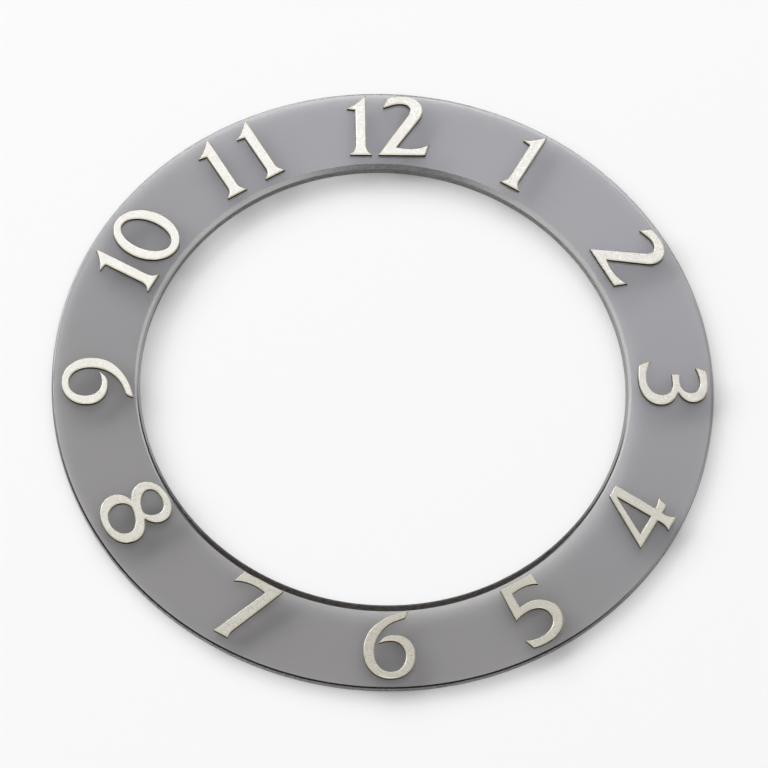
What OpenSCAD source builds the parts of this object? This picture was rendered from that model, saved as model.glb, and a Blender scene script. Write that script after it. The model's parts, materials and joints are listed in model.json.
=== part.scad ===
// Watch chapter ring: a smoked glass ring, slightly dished, with the twelve
// hours in applied metal figures bonded to its upper face.
// The ring's axis is Z, 12 o'clock is at +Y, 3 o'clock at +X, and the flat
// seat under the outer edge lies at z = 0.

/* [Glass ring] */
// Outer diameter of the ring
ring_od = 33; // [32.8:0.1:36]
// Diameter of the hole that frames the dial
hole_d = 24.2; // [20:0.1:24.6]
// Thickness of the glass, measured along the ring's axis
glass_t = 0.52; // [0.4:0.01:0.8]
// Height of the inner edge above the outer edge
cone_rise = 0.24; // [0.05:0.01:0.4]
// Width of the flat seat ground under the outer edge
seat_w = 0.5; // [0.3:0.05:1]
// Ground bevel on the lower outer edge
outer_bevel = 0.15; // [0.05:0.01:0.2]
// Width of the shallow ground bevel under the edge of the hole
under_bevel_w = 0.18; // [0.05:0.01:0.25]
// How far that bevel rises above the underside at the hole
under_bevel_rise = 0.05; // [0.02:0.01:0.1]
// Width of the shallow bevel that frames the hole on the upper face
frame_bevel_w = 0.27; // [0.1:0.01:0.3]
// How far that bevel falls below the upper face at the hole
frame_bevel_drop = 0.05; // [0.02:0.01:0.1]
// Fine bevel that breaks the upper outer edge
edge_break = 0.1; // [0.02:0.01:0.12]

/* [Numerals] */
// Height of the flat-topped figures
figure_h = 3.43; // [3:0.01:3.5]
// Thickness of the figures' metal
figure_t = 0.18; // [0.1:0.01:0.4]
// Distance from the numerals to the outer edge of the glass
edge_margin = 0.41; // [0.35:0.01:0.6]
// Offset of the circle of numerals from the ring's axis, towards 3 o'clock
offset_x = 0.1; // [0:0.01:0.15]
// Offset of the circle of numerals from the ring's axis, towards 12 o'clock
offset_y = 0.13; // [0:0.01:0.15]
// Distance between the middles of the two figures of 10
pitch_10 = 2.19; // [2.05:0.01:2.4]
// Distance between the stems of the two figures of 11
pitch_11 = 2.21; // [1.9:0.01:2.4]
// Distance between the middles of the two figures of 12
pitch_12 = 2.15; // [2:0.01:2.4]

/* [Bond] */
// Thickness of the adhesive film under each figure
film_t = 0.02; // [0.01:0.005:0.06]

/* [Hidden] */

outer_r = ring_od / 2;
hole_r = hole_d / 2;
seat_outer_r = outer_r - outer_bevel;
seat_inner_r = seat_outer_r - seat_w;

// The upper face and the underside are cones with one slope
slope = cone_rise / (outer_r - hole_r);
cone_angle = atan(slope);
function top_z(r) = glass_t + slope * (outer_r - r);
function under_z(r) = slope * (seat_inner_r - r);

// The figures are drawn on a grid in which a flat-topped one is cap_units high,
// with x = 0 on the figure's middle (the stem of the 1) and y = 0 on its foot
cap_units = 20.8;
unit = figure_h / cap_units;
curve_steps = 12;
oval_steps = 72;
ring_facets = 180;
numeral_r = outer_r - edge_margin - figure_h / 2;
one_nudge = 0.3 * unit;
nine_nudge = -0.1 * unit;

// How far the adhesive blank reaches into the glass before it is trimmed
film_root = 0.05;

glass_tint = [0.55, 0.54, 0.56, 0.75];
nickel = [0.86, 0.84, 0.79];
film_tint = [0.25, 0.25, 0.25];

// A path is a list of corners [x, y] and curves [control, control, end]
function end_of(step) = is_num(step[0]) ? step : step[2];
function bezier(a, b, c, d) =
    [for (i = [1:curve_steps]) let (t = i / curve_steps, s = 1 - t)
        s^3 * a + 3 * s^2 * t * b + 3 * s * t^2 * c + t^3 * d];
function walk(path) =
    [for (i = [0:len(path) - 1]) let (step = path[i])
        each is_num(step[0]) ? [step] : bezier(end_of(path[i - 1]), step[0], step[1], step[2])];
// A path that ends where it began gives its first point once
function open_end(points) =
    let (last = len(points) - 1)
    points[0] == points[last] ? [for (i = [0:last - 1]) points[i]] : points;
function outline(path) = unit * open_end(walk(path));
function oval(centre, half_w, half_h, lean) =
    [for (i = [0:oval_steps - 1])
        let (a = i * 360 / oval_steps, x = half_w * cos(a), y = half_h * sin(a))
        unit * (centre + [x * cos(lean) - y * sin(lean), x * sin(lean) + y * cos(lean)])];

// Pointed flag, slightly waisted stem and a flared foot
module figure_1() {
    polygon(outline([
        [-3.35, 0], [3.3, 0], [3.35, 0.25],
        [[2.4, 0.8], [1.65, 1.9], [1.65, 3.4]],
        [1.7, 20], [1.6, 20.9], [1.25, 21.05],
        [[-0.3, 18.9], [-2, 17.5], [-4.15, 16.55]],
        [-4.15, 16.3], [-1.65, 15.95], [-1.6, 3.2],
        [[-1.7, 1.8], [-2.3, 1], [-3.4, 0.35]]]));
}

module figure_2() {
    polygon(outline([
        [-6.05, 17.05], [-4.6, 20.3],
        [[-3.3, 20.7], [-1.8, 20.9], [0, 20.9]],
        [[3.6, 20.9], [6.05, 18.9], [6.05, 15.9]],
        [[6.05, 14.2], [5.2, 13.1], [4.4, 11.95]],
        [-2.1, 2.75],
        [[0.6, 2.05], [5.2, 1.95], [7.95, 4]],
        [6.6, 0], [-7.75, 0], [-7.75, 0.2], [0.9, 13.2],
        [[1.7, 14.4], [2.15, 15.2], [2.15, 16]],
        [[2.15, 17.4], [0.7, 18.15], [-1, 18.15]],
        [[-2.7, 18.15], [-4, 17.3], [-5.9, 16.8]]]));
}

module figure_3() {
    polygon(outline([
        [-5.55, 17.3], [-4.55, 20.35],
        [[-3.2, 20.8], [-1.6, 20.9], [0, 20.9]],
        [[3.8, 20.9], [6.05, 18.9], [6.05, 16.2]],
        [[6.05, 14.2], [4.7, 12.6], [2.85, 11.8]],
        [[5.4, 10.8], [7.2, 9.2], [7.2, 6.3]],
        [[7.2, 2.4], [3.6, -0.3], [-1.6, -0.35]],
        [[-3.4, -0.4], [-4.8, -0.3], [-6, 0.05]],
        [-7.55, 3.75],
        [[-5.6, 2.8], [-3.6, 2.25], [-1.6, 2.25]],
        [[1.6, 2.25], [3.9, 4.1], [3.9, 6.7]],
        [[3.9, 8.8], [2.4, 10.1], [0.2, 10.1]],
        [-3, 9.85], [-3.25, 12.35], [-0.6, 12.4],
        [[1.4, 12.5], [2.95, 13.9], [2.95, 15.6]],
        [[2.95, 17.3], [1.5, 18.4], [-0.5, 18.4]],
        [[-2.4, 18.4], [-3.9, 17.8], [-5.4, 17.1]]]));
}

module figure_4() {
    difference() {
        polygon(outline([
            [0.55, 20.75], [4.75, 20.8], [4.2, 6.95],
            [[5.4, 6.9], [6.8, 7.3], [7.85, 7.85]],
            [6.85, 4.35], [4, 4.35],
            [[3.7, 2.6], [4.1, 1.6], [5.1, 0.15]],
            [5.1, 0], [0, 0], [0, 0.2],
            [[0.9, 1.3], [1.15, 2.4], [1.15, 4.35]],
            [-9.45, 4.35], [-9.4, 4.6]]));
        polygon(outline([[1.5, 18.6], [1.25, 6.75], [-5.45, 6.75]]));
    }
}

module figure_5() {
    polygon(outline([
        [-5.75, 20.8], [5.4, 20.85], [5.25, 16.95],
        [[3.4, 18.3], [0.6, 18.5], [-3.05, 17.95]],
        [-3.3, 13.1],
        [[-1.9, 13.4], [-1, 13.5], [0, 13.45]],
        [[2.9, 13.4], [6.95, 10.2], [6.95, 6.9]],
        [[6.95, 2.6], [3.2, -0.55], [-2, -0.6]],
        [[-3.8, -0.6], [-5.2, -0.45], [-6.35, -0.05]],
        [-7.45, 3.05],
        [[-5.8, 2.3], [-4, 1.95], [-2.4, 1.95]],
        [[1, 1.95], [3.55, 4], [3.55, 6.6]],
        [[3.55, 9.2], [1.4, 10.85], [-1.6, 10.85]],
        [[-3.4, 10.85], [-5, 10.5], [-6.5, 9.85]]]));
}

// One outline that runs round the bowl and back inside the tail
module figure_6() {
    polygon(outline([
        [5.9, 21.15],
        [[3, 20.7], [-0.4, 19.6], [-3.2, 17.35]],
        [[-6.1, 15.1], [-7.7, 12], [-7.7, 8.3]],
        [[-7.7, 3.3], [-4.4, -0.6], [0.3, -0.6]],
        [[5, -0.6], [8, 2.7], [8, 7.1]],
        [[8, 10.9], [5.4, 13.5], [1.5, 13.5]],
        [[-0.6, 13.5], [-1.8, 12.7], [-2.95, 10.75]],
        [[-1.6, 11.35], [-0.4, 11.55], [0.7, 11.55]],
        [[3.2, 11.55], [5, 9.6], [5, 6.7]],
        [[5, 3.8], [3.2, 1.7], [0.6, 1.7]],
        [[-2.4, 1.7], [-4.35, 4.3], [-4.35, 8]],
        [[-4.35, 12.2], [-2, 15.9], [1.6, 17.65]],
        [[2.7, 18.15], [3.8, 18.5], [4.7, 18.85]],
        [[5.4, 19.4], [5.6, 20.2], [5.9, 21.15]]]));
}

module figure_7() {
    polygon(outline([
        [-5.25, 20.95], [8.05, 21], [2.1, 5.4],
        [[1.15, 3], [0.45, 1.7], [0.95, 0.05]],
        [0.95, 0], [-3.9, 0], [3.45, 18],
        [[0.5, 18.8], [-3.4, 18.7], [-6.55, 16.85]]]));
}

module figure_8() {
    difference() {
        polygon(outline([
            [3.75, 11.6],
            [[6, 12.6], [7.25, 14.4], [7.25, 16.4]],
            [[7.25, 19.3], [4.5, 21.4], [0.8, 21.4]],
            [[-3.8, 21.4], [-7.2, 19.2], [-7.2, 16]],
            [[-7.2, 13.9], [-5.9, 12.2], [-3.85, 11.25]],
            [[-6.6, 10.2], [-8.05, 8.4], [-8.05, 6.1]],
            [[-8.05, 2.2], [-4.2, -0.4], [0.6, -0.4]],
            [[5.4, -0.4], [8.55, 2.2], [8.55, 5.9]],
            [[8.55, 8.6], [6.8, 10.4], [3.75, 11.6]]]));
        polygon(outline([
            [1.6, 12.4],
            [[2.9, 12.4], [4.3, 14.4], [4.3, 16]],
            [[4.3, 18], [2.3, 19.3], [-0.1, 19.3]],
            [[-2.6, 19.3], [-4.1, 18.3], [-4.1, 16.6]],
            [[-4.1, 14.6], [-0.6, 12.4], [1.6, 12.4]]]));
        polygon(outline([
            [-1.4, 10.05],
            [[0.4, 10.05], [5.3, 8.3], [5.3, 5.8]],
            [[5.3, 3.5], [3, 1.85], [0.5, 1.85]],
            [[-2.6, 1.85], [-4.65, 3.9], [-4.65, 6.3]],
            [[-4.65, 8.4], [-3, 10.05], [-1.4, 10.05]]]));
    }
}

// The 9 is the 6 turned half a turn about the middle of its height
module figure_9() {
    turn_height = 10.175 * unit;
    translate([0, 2 * turn_height]) rotate(180) figure_6();
}

module figure_0() {
    lean = 4;
    difference() {
        polygon(oval([0, 10.15], 8.2, 10.6, lean));
        polygon(oval([-0.05, 10.25], 4.8, 8.05, lean));
    }
}

// Carries a figure to its place on the cone: the hour, its distance dx beside
// the hour line as read, and its height above the glass
module seat(hour, dx, lift) {
    reads_inward = hour >= 4 && hour <= 8;
    out = 90 - 30 * hour;
    up = reads_inward ? out + 180 : out;
    x = numeral_r * cos(out) + dx * sin(up) + offset_x;
    y = numeral_r * sin(out) - dx * cos(up) + offset_y;
    translate([x, y, top_z(norm([x, y]))])
        rotate(a = cone_angle, v = [-y, x, 0])
            rotate([0, 0, up - 90])
                translate([0, -figure_h / 2, lift])
                    children();
}

module metal(hour, dx = 0) {
    color(nickel) seat(hour, dx, film_t) linear_extrude(figure_t) children();
}

// Blank of the film under one figure, which the glass trims to its own cone
module film(hour, dx = 0) {
    seat(hour, dx, -film_root) linear_extrude(film_root + film_t) children();
}

module ring_body() {
    rotate_extrude($fn = ring_facets)
        polygon([
            [hole_r, under_z(hole_r) + under_bevel_rise],
            [hole_r + under_bevel_w, under_z(hole_r + under_bevel_w)],
            [seat_inner_r, 0],
            [seat_outer_r, 0],
            [outer_r, outer_bevel],
            [outer_r, top_z(outer_r) - edge_break],
            [outer_r - edge_break, top_z(outer_r - edge_break)],
            [hole_r + frame_bevel_w, top_z(hole_r + frame_bevel_w)],
            [hole_r, top_z(hole_r) - frame_bevel_drop]]);
}

module ring_plate() {
    color(glass_tint) ring_body();
}

module numeral_adhesive() {
    color(film_tint)
        difference() {
            union() {
                film(1, one_nudge) figure_1();
                film(2) figure_2();
                film(3) figure_3();
                film(4) figure_4();
                film(5) figure_5();
                film(6) figure_6();
                film(7) figure_7();
                film(8) figure_8();
                film(9, nine_nudge) figure_9();
                film(10, -pitch_10 / 2) figure_1();
                film(10, pitch_10 / 2) figure_0();
                film(11, -pitch_11 / 2) figure_1();
                film(11, pitch_11 / 2) figure_1();
                film(12, -pitch_12 / 2) figure_1();
                film(12, pitch_12 / 2) figure_2();
            }
            ring_body();
        }
}

module numeral_1() { metal(1, one_nudge) figure_1(); }
module numeral_2() { metal(2) figure_2(); }
module numeral_3() { metal(3) figure_3(); }
module numeral_4() { metal(4) figure_4(); }
module numeral_5() { metal(5) figure_5(); }
module numeral_6() { metal(6) figure_6(); }
module numeral_7() { metal(7) figure_7(); }
module numeral_8() { metal(8) figure_8(); }
module numeral_9() { metal(9, nine_nudge) figure_9(); }
module numeral_10_one() { metal(10, -pitch_10 / 2) figure_1(); }
module numeral_10_zero() { metal(10, pitch_10 / 2) figure_0(); }
module numeral_11_left() { metal(11, -pitch_11 / 2) figure_1(); }
module numeral_11_right() { metal(11, pitch_11 / 2) figure_1(); }
module numeral_12_one() { metal(12, -pitch_12 / 2) figure_1(); }
module numeral_12_two() { metal(12, pitch_12 / 2) figure_2(); }

ring_plate();
numeral_adhesive();
numeral_1();
numeral_2();
numeral_3();
numeral_4();
numeral_5();
numeral_6();
numeral_7();
numeral_8();
numeral_9();
numeral_10_one();
numeral_10_zero();
numeral_11_left();
numeral_11_right();
numeral_12_one();
numeral_12_two();
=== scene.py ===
"""Watch chapter ring: smoked glass, slightly dished, with twelve applied metal hours."""
import json
from math import cos, exp, pi, radians, sin

import bpy
import numpy as np
from mathutils import Matrix, Vector
from mathutils.geometry import delaunay_2d_cdt, tessellate_polygon


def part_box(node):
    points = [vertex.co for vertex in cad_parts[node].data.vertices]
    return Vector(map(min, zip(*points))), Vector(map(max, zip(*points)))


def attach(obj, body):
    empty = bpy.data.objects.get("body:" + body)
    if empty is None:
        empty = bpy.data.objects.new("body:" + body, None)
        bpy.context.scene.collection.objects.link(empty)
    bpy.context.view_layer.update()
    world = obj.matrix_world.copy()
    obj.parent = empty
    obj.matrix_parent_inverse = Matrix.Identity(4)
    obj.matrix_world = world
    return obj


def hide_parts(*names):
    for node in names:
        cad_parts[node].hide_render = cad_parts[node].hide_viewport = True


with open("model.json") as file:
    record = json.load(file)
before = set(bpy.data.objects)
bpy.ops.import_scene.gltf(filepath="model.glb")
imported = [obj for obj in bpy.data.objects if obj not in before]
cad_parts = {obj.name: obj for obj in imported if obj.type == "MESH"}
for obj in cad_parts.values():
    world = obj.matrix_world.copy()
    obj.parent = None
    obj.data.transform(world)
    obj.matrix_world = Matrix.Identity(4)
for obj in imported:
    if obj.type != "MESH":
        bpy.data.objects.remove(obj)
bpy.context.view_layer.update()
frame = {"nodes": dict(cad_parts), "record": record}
MM = 0.001

# Ring plate
# The ring is turned and ground from a plate of smoked glass about half a
# millimetre thick. Its two faces are polished cones, and its walls and bevels
# are left ground. It drops into the watch case on the flat seat at its rim.
ring_low, ring_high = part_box("ring_plate")
mounts = {mount["name"]: mount for mount in frame["record"]["mounts"]}
rim_r = ring_high.x
hole_r = mounts["dial_opening"]["dims"]["r_mm"] * MM
glass_t = 0.52 * MM
cone_rise = 0.24 * MM
outer_bevel = 0.15 * MM
under_bevel_w = 0.18 * MM
under_bevel_rise = 0.05 * MM
seat_w = 0.50 * MM
edge_break = 0.10 * MM
frame_bevel_w = 0.27 * MM
frame_bevel_drop = 0.05 * MM
cone_slope = cone_rise / (rim_r - hole_r)
seat_inner_r = rim_r - outer_bevel - seat_w


def face_z(r):
    """Height of the polished upper face at radius r."""
    return glass_t + cone_slope * (rim_r - r)


def under_z(r):
    """Height of the polished underside at radius r."""
    return cone_slope * (seat_inner_r - r)


def broken_edge(corner, before, after, steps=6):
    """Points that round one upper corner of the glass from one face to the next."""
    corner, before, after = (np.array(p) for p in (corner, before, after))
    spans = np.linspace(0, 1, steps + 1)
    return [tuple((1 - s) ** 2 * before + 2 * s * (1 - s) * corner + s * s * after) for s in spans]


def lathe(name, profile, finishes, smooth, turns):
    """Mesh turned from a closed profile of (r, z), each strip of faces with its finish."""
    mesh = bpy.data.meshes.new(name)
    count = len(profile)
    angles = np.arange(turns) * 2 * pi / turns
    verts = [(r * cos(a), r * sin(a), z) for a in angles for r, z in profile]
    faces = []
    for turn in range(turns):
        here = turn * count
        there = (turn + 1) % turns * count
        for k in range(count):
            after = (k + 1) % count
            faces.append((here + k, there + k, there + after, here + after))
    mesh.from_pydata(verts, [], faces)
    for kind in finishes[0]:
        values = mesh.attributes.new(kind, "FLOAT", "FACE")
        values.data.foreach_set("value", [finish[kind] for finish in finishes] * turns)
    mesh.polygons.foreach_set("use_smooth", [True] * len(faces))
    ends = np.zeros(len(mesh.edges) * 2, dtype=np.int32)
    mesh.edges.foreach_get("vertices", ends)
    ends = ends.reshape(-1, 2) % count
    crease = (ends[:, 0] == ends[:, 1]) & ~np.isin(ends[:, 0], smooth)
    mesh.attributes.new("sharp_edge", "BOOLEAN", "EDGE").data.foreach_set("value", crease)
    return mesh


outer_edge = broken_edge(
    (rim_r, face_z(rim_r)),
    (rim_r, face_z(rim_r) - edge_break),
    (rim_r - edge_break, face_z(rim_r - edge_break)),
)
bevel_top = face_z(hole_r + frame_bevel_w)
bevel_low = face_z(hole_r) - frame_bevel_drop
# The frame bevel is one flat cone, cut into four strips that each have their own finish
frame_bevel = [(hole_r + frame_bevel_w * share, bevel_low + (bevel_top - bevel_low) * share)
               for share in (1.0, 0.72, 0.44, 0.22, 0.0)]
ring_profile = [
    (hole_r, under_z(hole_r) + under_bevel_rise),
    (hole_r + under_bevel_w, under_z(hole_r + under_bevel_w)),
    (seat_inner_r, 0.0),
    (rim_r - outer_bevel, 0.0),
    (rim_r, outer_bevel),
] + outer_edge + frame_bevel
# What a finish says of its strip: how ground and how milky it is, how grey it looks straight
# on, the tilt at which the grey clears, how light the grey is from outside (tone) and from
# within (painted light, where it is lighter), how much lamp light passes to the table, how black
# it gets (a painted reflection) and the tilt at which it turns so, and how much of it is open to
# all light. A tilt runs from 0, seen straight on, to 1
POLISHED = {"ground": 0.0, "milk": 0.0, "grey": 0.0, "clears": 1.0, "tone": 0.0, "passes": 0.96,
            "black": 0.0, "turns": 1.0, "within_painted_light": 0.0, "open": 0.0}
NEVER_CLEARS = 9.0
RIM_BEVEL = POLISHED | {"ground": 0.6, "grey": 0.15, "clears": NEVER_CLEARS, "tone": 0.9,
                        "passes": 0.9, "within_painted_light": 1.0, "open": 0.7}
# Seen from within the glass, the rim wall is painted lighter than any paint: painted light for the
# light that reaches it from outside
RIM_WALL = POLISHED | {"ground": 1.0, "grey": 1.0, "clears": NEVER_CLEARS, "tone": 0.27,
                       "passes": 0.85, "within_painted_light": 1.3}
UNDER_BEVEL = POLISHED | {"ground": 1.0, "grey": 0.97, "clears": NEVER_CLEARS, "tone": 0.01,
                          "passes": 0.75, "within_painted_light": 0.01}
HOLE_WALL = POLISHED | {"ground": 1.0, "grey": 0.6, "clears": NEVER_CLEARS, "tone": 0.28,
                        "passes": 0.75, "within_painted_light": 0.28}
# The rounded edge is painted near black straight on, painted shade for the dark it shows there, and
# clears as it turns away
ROUNDED = [POLISHED | {"ground": 0.2, "grey": 1.0, "clears": clears, "tone": 0.006,
                       "passes": 0.9, "within_painted_light": 0.006}
           for clears in (0.58, 0.355, 0.192, 0.117)]
# The black that the frame bevel takes at a tilt is a painted reflection of the dark edge of the hole
FROSTED = [POLISHED | {"ground": 0.25, "milk": 0.34, "grey": 0.97, "clears": 0.0675, "tone": 0.11,
                       "passes": 0.7, "black": black, "turns": turns, "within_painted_light": 0.11}
           for black, turns in ((0.94, 0.134), (1.0, 0.109), (0.8, 0.139), (0.35, 0.139))]
ring_finishes = ([UNDER_BEVEL, POLISHED, POLISHED, RIM_BEVEL, RIM_WALL, RIM_WALL] + ROUNDED
                 + [POLISHED, POLISHED] + FROSTED + [HOLE_WALL])
rounding = [ring_profile.index(point) for point in outer_edge[1:-1]]


def material(name):
    """Empty node material, with its node tree and its output."""
    made = bpy.data.materials.new(name)
    made.use_nodes = True
    tree = made.node_tree
    tree.nodes.clear()
    return made, tree, tree.nodes.new("ShaderNodeOutputMaterial")


def node(tree, kind, **values):
    """Shader node with its settings and, by socket name, its values and what feeds it."""
    made = tree.nodes.new(kind)
    for key, value in values.items():
        if hasattr(made, key):
            setattr(made, key, value)
        elif isinstance(value, bpy.types.NodeSocket):
            tree.links.new(value, made.inputs[key.replace("_", " ")])
        else:
            made.inputs[key.replace("_", " ")].default_value = value
    return made


def worked(tree, operation, *values, clamp=False):
    """Result of arithmetic on plain numbers or other nodes' outputs."""
    made = node(tree, "ShaderNodeMath", operation=operation, use_clamp=clamp)
    for value, socket in zip(values, made.inputs):
        if isinstance(value, bpy.types.NodeSocket):
            tree.links.new(value, socket)
        else:
            socket.default_value = value
    return made.outputs["Value"]


def blend(tree, share, first, second):
    """Shader between two others, where share is how much of the second shows."""
    made = node(tree, "ShaderNodeMixShader")
    for value, socket in zip((share, first, second), made.inputs):
        tree.links.new(value, socket)
    return made.outputs["Shader"]


def two_tone(tree, share, first, second):
    """Colour between two others, where share is how much of the second shows."""
    made = node(tree, "ShaderNodeMix", data_type="RGBA", A=(*first, 1), B=(*second, 1), Factor=share)
    return made.outputs["Result"]


def noise(tree, scale, detail, roughness=0.5):
    """Uneven pattern through the whole of a piece, finer with a larger scale."""
    place = node(tree, "ShaderNodeTexCoord")
    made = node(tree, "ShaderNodeTexNoise", Vector=place.outputs["Object"], Scale=scale,
                Detail=detail, Roughness=roughness)
    return made.outputs["Fac"]


def ramp(tree, value, start, end, low=0.0, high=1.0, smooth=False):
    """Value carried from between start and end to between low and high."""
    kind = "SMOOTHSTEP" if smooth else "LINEAR"
    made = node(tree, "ShaderNodeMapRange", interpolation_type=kind, Value=value,
                From_Min=start, From_Max=end, To_Min=low, To_Max=high)
    return made.outputs["Result"]


def finish_of(tree, kind):
    """One value of the finish that the strip of glass has."""
    return node(tree, "ShaderNodeAttribute", attribute_name=kind).outputs["Fac"]


def ground_grey(tree, pits, relief):
    """Speckled grey of ground glass; from within it is painted lighter, a painted light for its wall
    lit from outside.
    """
    behind = node(tree, "ShaderNodeNewGeometry").outputs["Backfacing"]
    tone = ramp(tree, behind, 0.0, 1.0, finish_of(tree, "tone"), finish_of(tree, "within_painted_light"))
    speckle = two_tone(tree, pits, (0.50, 0.47, 0.48), (1.52, 1.47, 1.46))
    colour = node(tree, "ShaderNodeMix", data_type="RGBA", blend_type="MULTIPLY", Factor=1.0,
                  A=tone, B=speckle)
    paste = node(tree, "ShaderNodeBsdfPrincipled", Roughness=0.45, Specular_IOR_Level=0.15,
                 Base_Color=colour.outputs["Result"], Normal=relief)
    return paste.outputs["BSDF"]


def grey_share(tree, tilt, grain):
    """How much of the grey shows: it fades out at the tilt where the finish clears."""
    fade = ramp(tree, worked(tree, "DIVIDE", tilt, finish_of(tree, "clears")), 1.0, 0.87, smooth=True)
    amount = worked(tree, "MULTIPLY", fade, finish_of(tree, "grey"))
    return worked(tree, "MULTIPLY", amount, ramp(tree, grain, 0.0, 1.0, 0.8, 1.2), clamp=True)


def with_haze(tree, glass, tilt, relief):
    """Glass with the milky haze of its finish, which shows only straight on."""
    frost = node(tree, "ShaderNodeBsdfPrincipled", Roughness=0.6, Base_Color=(0.75, 0.75, 0.73, 1),
                 Normal=relief)
    head_on = ramp(tree, tilt, 0.139, 0.122, smooth=True)
    share = worked(tree, "MULTIPLY", finish_of(tree, "milk"), head_on)
    return blend(tree, share, glass, frost.outputs["BSDF"])


def with_black(tree, body, tilt, pits):
    """Body painted black when tilted: a painted reflection of the dark edge of the hole in the frame
    bevel.
    """
    darkest = two_tone(tree, pits, (0.010, 0.010, 0.010), (0.045, 0.036, 0.026))
    painted_reflection = node(tree, "ShaderNodeBsdfPrincipled", Roughness=0.5, Specular_IOR_Level=0.15,
                Base_Color=darkest)
    turns = finish_of(tree, "turns")
    tilted = ramp(tree, tilt, turns, worked(tree, "ADD", turns, 0.012), smooth=True)
    share = worked(tree, "MULTIPLY", finish_of(tree, "black"), tilted)
    return blend(tree, share, body, painted_reflection.outputs["BSDF"])


def with_passing_light(tree, body):
    """Body that lets lamp light straight through to the table, and all light where it is open."""
    clear = node(tree, "ShaderNodeBsdfTransparent", Color=finish_of(tree, "passes"))
    path = node(tree, "ShaderNodeLightPath")
    passing = worked(tree, "MAXIMUM", path.outputs["Is Shadow Ray"], path.outputs["Is Diffuse Ray"])
    share = worked(tree, "MAXIMUM", passing, finish_of(tree, "open"))
    return blend(tree, share, body, clear.outputs["BSDF"])


def smoked_glass():
    """Grey glass that absorbs along its depth, clear on its faces and ground at its edges."""
    made, tree, output = material("smoked_glass")
    grain = noise(tree, 9000.0, 3.0, 0.6)
    pits = ramp(tree, grain, 0.36, 0.64)
    ground = finish_of(tree, "ground")
    relief = node(tree, "ShaderNodeBump", Distance=0.01 * MM, Height=grain,
                  Strength=worked(tree, "MULTIPLY", ground, 0.6)).outputs["Normal"]
    glass = node(tree, "ShaderNodeBsdfPrincipled", IOR=1.52, Transmission_Weight=1.0,
                 Base_Color=(1, 1, 1, 1), Roughness=ramp(tree, ground, 0.0, 1.0, 0.0, 0.5),
                 Normal=relief)
    tilt = node(tree, "ShaderNodeLayerWeight", Blend=0.5).outputs["Facing"]
    hazy = with_haze(tree, glass.outputs["BSDF"], tilt, relief)
    body = blend(tree, grey_share(tree, tilt, grain), hazy, ground_grey(tree, pits, relief))
    edged = with_black(tree, body, tilt, pits)
    tree.links.new(with_passing_light(tree, edged), output.inputs["Surface"])
    smoke = node(tree, "ShaderNodeVolumeAbsorption", Density=1500.0, Color=(0.50, 0.489, 0.50, 1))
    tree.links.new(smoke.outputs["Volume"], output.inputs["Volume"])
    return made


ring_mesh = lathe("ring_glass", ring_profile, ring_finishes, rounding, turns=720)
# Painted shade: the broken edge stays dark further round on the side of the 9, which gets
# less light, than on that of the 3
painted_shade_lean = 0.35
clears_at = np.zeros(len(ring_mesh.polygons), dtype=np.float32)
ring_mesh.attributes["clears"].data.foreach_get("value", clears_at)
clears_at = clears_at.reshape(-1, len(ring_finishes))
around = (np.arange(len(clears_at)) + 0.5) * 2 * pi / len(clears_at)
on_edge = [finish in ROUNDED for finish in ring_finishes]
clears_at[:, on_edge] *= (1 - painted_shade_lean * np.cos(around))[:, None]
ring_mesh.attributes["clears"].data.foreach_set("value", clears_at.ravel())
ring = bpy.data.objects.new("ring_glass", ring_mesh)
bpy.context.scene.collection.objects.link(ring)
ring.data.materials.append(smoked_glass())
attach(ring, "root")
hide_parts("ring_plate")

# Bond films
# Each figure is held by a film of clear-setting adhesive a few hundredths of a
# millimetre thick, cut or spread to the figure's own outline. It shows only as
# a dull grey line under the metal and from below, through the glass.


def bond_film():
    """Dull grey adhesive, a little uneven."""
    made, tree, output = material("bond_film")
    tone = two_tone(tree, noise(tree, 2500.0, 2.0), (0.10, 0.10, 0.095), (0.16, 0.155, 0.15))
    paste = node(tree, "ShaderNodeBsdfPrincipled", Roughness=0.6, Base_Color=tone)
    tree.links.new(paste.outputs["BSDF"], output.inputs["Surface"])
    return made


film = frame["nodes"]["numeral_adhesive"]
film.data.materials.clear()
film.data.materials.append(bond_film())

# Hour figures
# The figures are satin nickel, each formed in one piece with a flat face, a
# bright rolled edge round it and dull side walls, whose dark is partly their own
# and partly painted shade for the shaded foot of each figure. They stand on the
# cone of the glass, so each leans with it.

# A figure's outline is worked on in millimetres. Its rolled edge is given from the wall
# inwards, by the distance from it, the fall below the face and the slope there
edge_run = [(0.0, 0.036, 1.0), (0.025, 0.013, 0.7), (0.045, 0.003, 0.3), (0.06, 0.0, 0.0)]
outline_step = 0.06
first_inset = 0.002
merge_within = 0.0015
on_wall = 1e-4


def top_loops(mesh, least_up=0.9):
    """The figure's plane and its outlines: metal lies to the left of each, seen from above."""
    top = [polygon for polygon in mesh.polygons if polygon.normal.z > least_up]
    normals = np.array([polygon.normal[:] for polygon in top])
    areas = np.array([polygon.area for polygon in top])
    up = (normals * areas[:, None]).sum(0)
    up /= np.linalg.norm(up)
    places = {}

    def key(index):
        """One number for all corners that lie within a tenth of a micrometre."""
        return places.setdefault(tuple(round(c, 7) for c in mesh.vertices[index].co), index)

    sides = {}
    for polygon in top:
        corners = [key(v) for v in polygon.vertices]
        sides.update(dict.fromkeys(zip(corners, corners[1:] + corners[:1])))
    follow = {a: b for a, b in sides if (b, a) not in sides}
    loops = []
    while follow:
        start, at = next(iter(follow.items()))
        loop = [start]
        del follow[start]
        while at != start:
            loop.append(at)
            at = follow.pop(at)
        loops.append(np.array([mesh.vertices[i].co[:] for i in loop]))
    return up, loops


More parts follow.
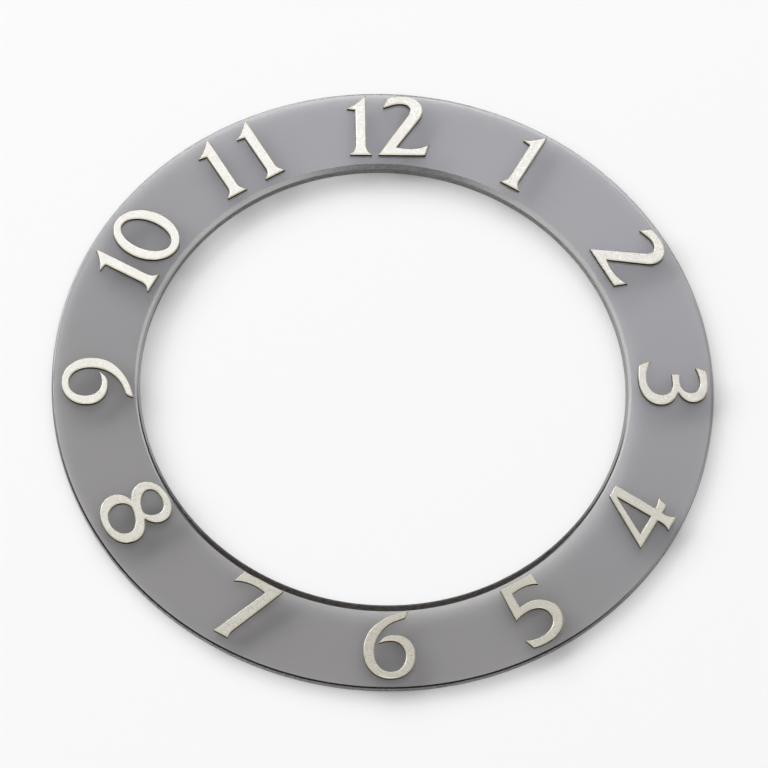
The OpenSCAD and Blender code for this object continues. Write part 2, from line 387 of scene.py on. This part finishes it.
def spaced(loop, step):
    """Outline with further points along its longer sides, none further apart than step."""
    points = []
    for a, b in zip(loop, np.roll(loop, -1, 0)):
        pieces = max(1, int(np.ceil(np.linalg.norm(b - a) / step)))
        points += [a + (b - a) * k / pieces for k in range(pieces)]
    return np.array(points)


def wall_gaps(points, segments):
    """For each point, the vector from the nearest wall to it, and how far that is."""
    start = segments[:, 0]
    run = segments[:, 1] - start
    t = ((points[:, None] - start) * run).sum(2) / (run * run).sum(1)
    away = points[:, None] - start - np.clip(t, 0, 1)[..., None] * run
    gap = np.linalg.norm(away, axis=2)
    nearest = gap.argmin(1)
    row = np.arange(len(points))
    return away[row, nearest], gap[row, nearest]


def drawn_in(points, segments, width, rounds=40, longest_move=0.35):
    """Points inside the metal, moved off every wall until they are width away, or half way over."""
    moved = points.copy()
    for _ in range(rounds):
        away, gap = wall_gaps(moved, segments)
        move = np.clip(width - gap, 0, longest_move * gap)
        moved += away / gap[:, None] * move[:, None]
    return moved


def inside(points, segments):
    """Whether each point lies within the outlines."""
    a, b = segments[:, 0], segments[:, 1]
    x, y = points[:, None, 0], points[:, None, 1]
    spans = (a[:, 1] > y) != (b[:, 1] > y)
    rise = np.where(b[:, 1] == a[:, 1], 1.0, b[:, 1] - a[:, 1])
    crossing = a[:, 0] + (y - a[:, 1]) / rise * (b[:, 0] - a[:, 0])
    return (spans & (x < crossing)).sum(1) % 2 == 1


def inward_ways(flat):
    """For each point of the outlines, the unit vector that leads into the metal."""
    rim = np.concatenate(flat)
    before = rim - np.concatenate([np.roll(loop, 1, 0) for loop in flat])
    after = np.concatenate([np.roll(loop, -1, 0) for loop in flat]) - rim
    inward = np.zeros_like(rim)
    for side in (before, after):
        inward += np.stack([-side[:, 1], side[:, 0]], 1) / np.linalg.norm(side, axis=1, keepdims=True)
    return inward / np.maximum(np.linalg.norm(inward, axis=1, keepdims=True), 1e-6)


def loop_sides(flat):
    """Numbers of the two points at the ends of each side of the outlines."""
    sides = []
    for loop in flat:
        first = len(sides)
        sides += [(first + k, first + (k + 1) % len(loop)) for k in range(len(loop))]
    return sides


def rolled_face(flat, segments):
    """Points and triangles of the face, its fall and tilt at each, and where outline points went."""
    rim = segments[:, 0]
    inward = inward_ways(flat)
    level = rim + inward * first_inset
    level = level[inside(level, segments)]
    points = [rim]
    for inset, _, _ in edge_run[1:]:
        level = drawn_in(level, segments, inset)
        points.append(level)
    corners = [Vector(point) for point in np.concatenate(points)]
    found = delaunay_2d_cdt(corners, loop_sides(flat), [], 0, merge_within)
    places = np.array([p[:] for p in found[0]])
    tris = np.array(found[2])
    tris = tris[inside(places[tris].mean(1), segments)]
    off_wall, gap = wall_gaps(places, segments)
    insets, falls, slopes = zip(*edge_run)
    drop = np.interp(gap, insets, falls)
    tilt = off_wall / np.maximum(gap, 1e-6)[:, None] * np.interp(gap, insets, slopes)[:, None]
    where = {}
    for new, olds in enumerate(found[3]):
        for old in olds:
            where[old] = new
            if old < len(rim) and gap[new] < on_wall:
                tilt[new] = inward[old] * slopes[0]
    return places, tris, drop, tilt, where


def under_tris(flat, rim):
    """Triangles of the flat underside, each wound to face down."""
    faces = []
    for tri in tessellate_polygon([[Vector((u, v, 0)) for u, v in loop] for loop in flat]):
        a, b, c = (rim[k] for k in tri)
        faces_up = (b[0] - a[0]) * (c[1] - a[1]) - (b[1] - a[1]) * (c[0] - a[0]) > 0
        faces.append(tri[::-1] if faces_up else tri)
    return faces


def figure_mesh(name, source):
    """Mesh of one figure from its CAD solid, with its face, rolled edge and walls."""
    up, loops = top_loops(source)
    depth = np.ptp(np.array([v.co[:] for v in source.vertices]) @ up)
    origin = loops[0].mean(0)
    across = np.cross([0.0, 1.0, 0.0], up)
    across /= np.linalg.norm(across)
    along = np.cross(up, across)
    flat = [np.stack([(loop - origin) @ across, (loop - origin) @ along], 1) / MM for loop in loops]
    flat = [spaced(loop, outline_step) for loop in flat]
    segments = np.concatenate([np.stack([loop, np.roll(loop, -1, 0)], 1) for loop in flat])
    rim = segments[:, 0]
    places, tris, drop, tilt, where = rolled_face(flat, segments)
    verts = [origin + (u * across + v * along - fall * up) * MM for (u, v), fall in zip(places, drop)]
    low = len(verts)
    verts += [origin + (u * across + v * along) * MM - depth * up for u, v in rim]
    face = [tuple(int(k) for k in tri) for tri in tris]
    dark = [(low + a, low + b, where[b], where[a]) for a, b in loop_sides(flat)]
    dark += [tuple(low + k for k in tri) for tri in under_tris(flat, rim)]
    mesh = bpy.data.meshes.new(name)
    mesh.from_pydata([tuple(v) for v in verts], [], face + dark)
    mesh.polygons.foreach_set("material_index", [0] * len(face) + [1] * len(dark))
    mesh.validate()
    mesh.update()
    shine = up - tilt[:, :1] * across - tilt[:, 1:] * along
    shine /= np.linalg.norm(shine, axis=1, keepdims=True)
    turned_to = []
    for polygon in mesh.polygons:
        on_top = polygon.material_index == 0
        turned_to += [shine[v] if on_top else polygon.normal for v in polygon.vertices]
    mesh.polygons.foreach_set("use_smooth", [True] * len(mesh.polygons))
    mesh.normals_split_custom_set([tuple(n) for n in turned_to])
    return mesh


def with_soft_shadow(tree, metal):
    """Metal that lets part of the lamp light by, as the glass spreads light into its shadow."""
    let_by = node(tree, "ShaderNodeBsdfTransparent", Color=(0.4, 0.4, 0.4, 1))
    path = node(tree, "ShaderNodeLightPath")
    return blend(tree, path.outputs["Is Shadow Ray"], metal.outputs["BSDF"], let_by.outputs["BSDF"])


def satin_nickel():
    """Warm silver metal with a fine pitted grain."""
    made, tree, output = material("satin_nickel")
    grain = noise(tree, 11000.0, 4.0, 0.65)
    tone = two_tone(tree, noise(tree, 1600.0, 2.0), (0.563, 0.538, 0.46), (0.637, 0.615, 0.536))
    relief = node(tree, "ShaderNodeBump", Strength=0.42, Distance=0.008 * MM, Height=grain)
    metal = node(tree, "ShaderNodeBsdfPrincipled", Metallic=1.0, Base_Color=tone,
                 Roughness=ramp(tree, grain, 0.3, 0.7, 0.22, 0.42), Normal=relief.outputs["Normal"])
    tree.links.new(with_soft_shadow(tree, metal), output.inputs["Surface"])
    return made


def dull_wall_and_painted_shade():
    """Dull metal of the figures' side walls, dark partly of itself and partly as painted shade."""
    made, tree, output = material("dull_wall_and_painted_shade")
    tone = two_tone(tree, noise(tree, 9000.0, 3.0), (0.018, 0.014, 0.009), (0.055, 0.044, 0.028))
    metal = node(tree, "ShaderNodeBsdfPrincipled", Metallic=1.0, Roughness=0.45, Base_Color=tone)
    tree.links.new(with_soft_shadow(tree, metal), output.inputs["Surface"])
    return made


nickel = satin_nickel()
walls = dull_wall_and_painted_shade()
for name, cad_node in frame["nodes"].items():
    if name.startswith("numeral_") and name != "numeral_adhesive":
        title = name + "_satin"
        figure = bpy.data.objects.new(title, figure_mesh(title, cad_node.data))
        bpy.context.scene.collection.objects.link(figure)
        figure.data.materials.append(nickel)
        figure.data.materials.append(walls)
        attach(figure, "root")
        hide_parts(name)

# Table top
# The ring lies on a smooth, matt white table, far larger than itself. The table
# stands a hair below the seat, so that the two never share a plane.
table_half = 1.5
table_gap = 0.002 * MM


def white_table():
    """Matt white table top."""
    made, tree, output = material("white_table")
    top = node(tree, "ShaderNodeBsdfPrincipled", Roughness=0.7, Specular_IOR_Level=0.0,
               Base_Color=(0.93, 0.93, 0.93, 1))
    tree.links.new(top.outputs["BSDF"], output.inputs["Surface"])
    return made


table_mesh = bpy.data.meshes.new("table_top")
corners = [(-table_half, -table_half, 0), (table_half, -table_half, 0),
           (table_half, table_half, 0), (-table_half, table_half, 0)]
table_mesh.from_pydata(corners, [], [(0, 1, 2, 3)])
table = bpy.data.objects.new("table_top", table_mesh)
table.location.z = ring_low.z - table_gap
bpy.context.scene.collection.objects.link(table)
table_mesh.materials.append(white_table())

# Light
# A low, wide window of soft light stands behind the ring on the left and throws
# its shadows, and a weaker one stands straight behind. The bright ceiling of the
# white room fills the rest.


def soft_lamp(name, azimuth, elevation, distance, width, height, radiance):
    """Rectangular lamp that faces the ring from an azimuth and elevation in degrees."""
    lamp = bpy.data.lights.new(name, "AREA")
    lamp.shape = "RECTANGLE"
    lamp.size = width
    lamp.size_y = height
    lamp.energy = radiance * pi * width * height
    holder = bpy.data.objects.new(name, lamp)
    a, e = radians(azimuth), radians(elevation)
    place = Vector((cos(e) * cos(a), cos(e) * sin(a), sin(e))) * distance
    holder.matrix_world = Matrix.Translation(place) @ place.to_track_quat("Z", "Y").to_matrix().to_4x4()
    holder.visible_camera = False
    holder.visible_glossy = False
    holder.visible_transmission = False
    bpy.context.scene.collection.objects.link(holder)


soft_lamp("left_window", azimuth=140, elevation=27, distance=1.6, width=2.3, height=0.72, radiance=6.2)
soft_lamp("back_window", azimuth=84, elevation=30, distance=1.6, width=1.6, height=0.72, radiance=2.7)


def glow(tree, way, east, north, spread, radiance):
    """Soft round patch of light in the room, centred over a level direction of (east, north)."""
    apart = node(tree, "ShaderNodeVectorMath", operation="DISTANCE")
    apart.inputs[1].default_value = (east, north, 0)
    tree.links.new(way, apart.inputs[0])
    wide = worked(tree, "DIVIDE", apart.outputs["Value"], spread)
    fall = worked(tree, "POWER", exp(-1), worked(tree, "MULTIPLY", wide, wide))
    return worked(tree, "MULTIPLY", fall, radiance)


world = bpy.data.worlds.new("white_room")
bpy.context.scene.world = world
world.use_nodes = True
sky = world.node_tree
sky.nodes.clear()
direction = node(sky, "ShaderNodeTexCoord").outputs["Generated"]
toward = node(sky, "ShaderNodeSeparateXYZ", Vector=direction)
# What the camera sees behind the table and through the glass: plain white
wall = node(sky, "ShaderNodeBackground", Strength=1.0, Color=(0.93, 0.93, 0.93, 1))
# What lights the table and the ring: a ceiling that is brightest overhead
fill = node(sky, "ShaderNodeBackground", Color=(1, 1, 1, 1),
            Strength=ramp(sky, toward.outputs["Z"], 0.5, 0.85, 0.10, 0.71, smooth=True))
# What the metal and the faces of the glass mirror: four softboxes in a dim room
flat_way = node(sky, "ShaderNodeVectorMath", operation="MULTIPLY")
flat_way.inputs[1].default_value = (1, 1, 0)
sky.links.new(direction, flat_way.inputs[0])
softboxes = [glow(sky, flat_way.outputs["Vector"], east, north, spread, radiance)
             for east, north, spread, radiance in ((-0.38, 0.51, 0.15, 8.7), (0.15, 0.52, 0.15, 2.2),
                                                   (-0.02, 0.60, 0.12, 1.5), (0.0, -0.5, 0.28, 1.0))]
room_light = softboxes[0]
for patch in softboxes[1:]:
    room_light = worked(sky, "ADD", room_light, patch)
# The white walls and table show again at the edges, where the glass mirrors level directions,
# and the ceiling is brighter from straight above the ring towards the south
dim_room = 0.36
low_walls = ramp(sky, toward.outputs["Z"], 0.5, 0.15, dim_room, 0.86, smooth=True)
south = ramp(sky, toward.outputs["Y"], 0.22, -0.02, 0.0, 0.5, smooth=True)
walls_and_south = worked(sky, "MAXIMUM", low_walls, worked(sky, "ADD", south, dim_room))
mirrored = node(sky, "ShaderNodeBackground",
                Color=two_tone(sky, room_light, (1.01, 0.97, 0.80), (1.0, 1.025, 1.16)),
                Strength=worked(sky, "ADD", room_light, walls_and_south))
path = node(sky, "ShaderNodeLightPath")
lit = blend(sky, path.outputs["Is Glossy Ray"], fill.outputs["Background"],
            mirrored.outputs["Background"])
seen = worked(sky, "MAXIMUM", path.outputs["Is Camera Ray"], path.outputs["Is Transmission Ray"])
node(sky, "ShaderNodeOutputWorld", Surface=blend(sky, seen, lit, wall.outputs["Background"]))

# Camera
# A long lens looks down on the ring from just left of 6 o'clock, held slightly
# askew, so that 12 o'clock leans a little in the picture.
view_azimuth, view_elevation, view_roll = radians(-95.07), radians(63.80), radians(4.90)
view_distance = 495 * MM
camera_data = bpy.data.cameras.new("camera")
camera_data.sensor_width = 36
camera_data.lens = 465.5
camera_data.clip_start = 10 * MM
camera_data.shift_x = 0.0016
camera_data.shift_y = 0.0091
camera = bpy.data.objects.new("camera", camera_data)
bpy.context.scene.collection.objects.link(camera)
bpy.context.scene.camera = camera
back = Vector((cos(view_elevation) * cos(view_azimuth),
               cos(view_elevation) * sin(view_azimuth), sin(view_elevation)))
level = Vector((-sin(view_azimuth), cos(view_azimuth), 0))
upward = back.cross(level)
right = cos(view_roll) * level + sin(view_roll) * upward
top = -sin(view_roll) * level + cos(view_roll) * upward
camera.matrix_world = (Matrix.Translation(back * view_distance)
                       @ Matrix((right, top, back)).transposed().to_4x4())

bpy.context.scene.view_settings.view_transform = "Standard"
